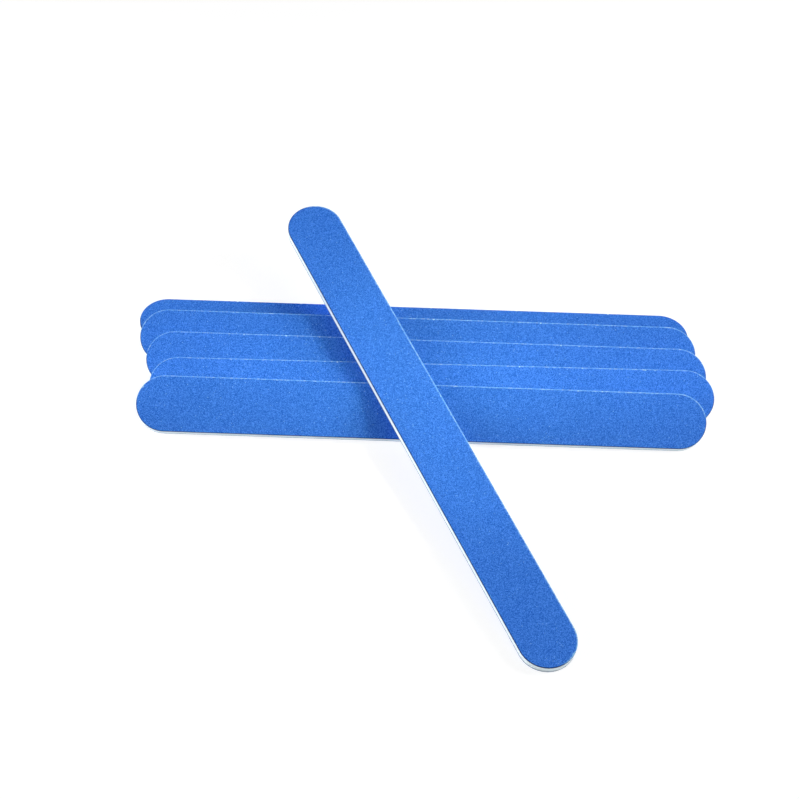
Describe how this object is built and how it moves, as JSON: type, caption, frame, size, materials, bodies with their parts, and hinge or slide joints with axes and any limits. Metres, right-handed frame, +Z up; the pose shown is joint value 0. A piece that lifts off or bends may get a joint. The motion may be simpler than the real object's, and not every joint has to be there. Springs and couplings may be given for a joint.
{
  "type": "nail file",
  "caption": "Straight round-ended nail files with blue coated abrasive on both faces of a white foam core, leaning in a low shingled pile with another laid across it.",
  "frame": {"origin": "centre of the underside of the file that lies flat at the back of the pile", "axes": "+X along the pile towards its right end, +Y from the front of the pile to the back, +Z up from the surface that it lies on"},
  "size_m": [0.1833, 0.1609, 0.0203],
  "materials": {
    "abrasive_coat": "matt, fine mineral grit in blue resin",
    "backing_paper": "dyed latex paper, cut edge",
    "adhesive_film": "clear acrylic film",
    "foam_core": "white closed-cell foam, die-cut edge"
  },
  "bodies": {
    "back_file": {"back_file_lower_grit_coat": "abrasive_coat", "back_file_lower_paper_backing": "backing_paper", "back_file_lower_adhesive_film": "adhesive_film", "back_file_foam_core": "foam_core", "back_file_upper_adhesive_film": "adhesive_film", "back_file_upper_paper_backing": "backing_paper", "back_file_upper_grit_coat": "abrasive_coat"},
    "second_file": {"second_file_lower_grit_coat": "abrasive_coat", "second_file_lower_paper_backing": "backing_paper", "second_file_lower_adhesive_film": "adhesive_film", "second_file_foam_core": "foam_core", "second_file_upper_adhesive_film": "adhesive_film", "second_file_upper_paper_backing": "backing_paper", "second_file_upper_grit_coat": "abrasive_coat"},
    "third_file": {"third_file_lower_grit_coat": "abrasive_coat", "third_file_lower_paper_backing": "backing_paper", "third_file_lower_adhesive_film": "adhesive_film", "third_file_foam_core": "foam_core", "third_file_upper_adhesive_film": "adhesive_film", "third_file_upper_paper_backing": "backing_paper", "third_file_upper_grit_coat": "abrasive_coat"},
    "fourth_file": {"fourth_file_lower_grit_coat": "abrasive_coat", "fourth_file_lower_paper_backing": "backing_paper", "fourth_file_lower_adhesive_film": "adhesive_film", "fourth_file_foam_core": "foam_core", "fourth_file_upper_adhesive_film": "adhesive_film", "fourth_file_upper_paper_backing": "backing_paper", "fourth_file_upper_grit_coat": "abrasive_coat"},
    "front_file": {"front_file_lower_grit_coat": "abrasive_coat", "front_file_lower_paper_backing": "backing_paper", "front_file_lower_adhesive_film": "adhesive_film", "front_file_foam_core": "foam_core", "front_file_upper_adhesive_film": "adhesive_film", "front_file_upper_paper_backing": "backing_paper", "front_file_upper_grit_coat": "abrasive_coat"},
    "crossing_file": {"crossing_file_lower_grit_coat": "abrasive_coat", "crossing_file_lower_paper_backing": "backing_paper", "crossing_file_lower_adhesive_film": "adhesive_film", "crossing_file_foam_core": "foam_core", "crossing_file_upper_adhesive_film": "adhesive_film", "crossing_file_upper_paper_backing": "backing_paper", "crossing_file_upper_grit_coat": "abrasive_coat"}
  },
  "joints": [
    {"name": "second_file_lift", "type": "slide", "parent": "back_file", "child": "second_file", "axis": [0, 0, 1], "range_m": [0, 0.03]},
    {"name": "third_file_lift", "type": "slide", "parent": "second_file", "child": "third_file", "axis": [0, 0, 1], "range_m": [0, 0.03]},
    {"name": "fourth_file_lift", "type": "slide", "parent": "third_file", "child": "fourth_file", "axis": [0, 0, 1], "range_m": [0, 0.03]},
    {"name": "front_file_lift", "type": "slide", "parent": "fourth_file", "child": "front_file", "axis": [0, 0, 1], "range_m": [0, 0.03]},
    {"name": "crossing_file_lift", "type": "slide", "parent": "front_file", "child": "crossing_file", "axis": [0, 0, 1], "range_m": [0, 0.03]}
  ]
}
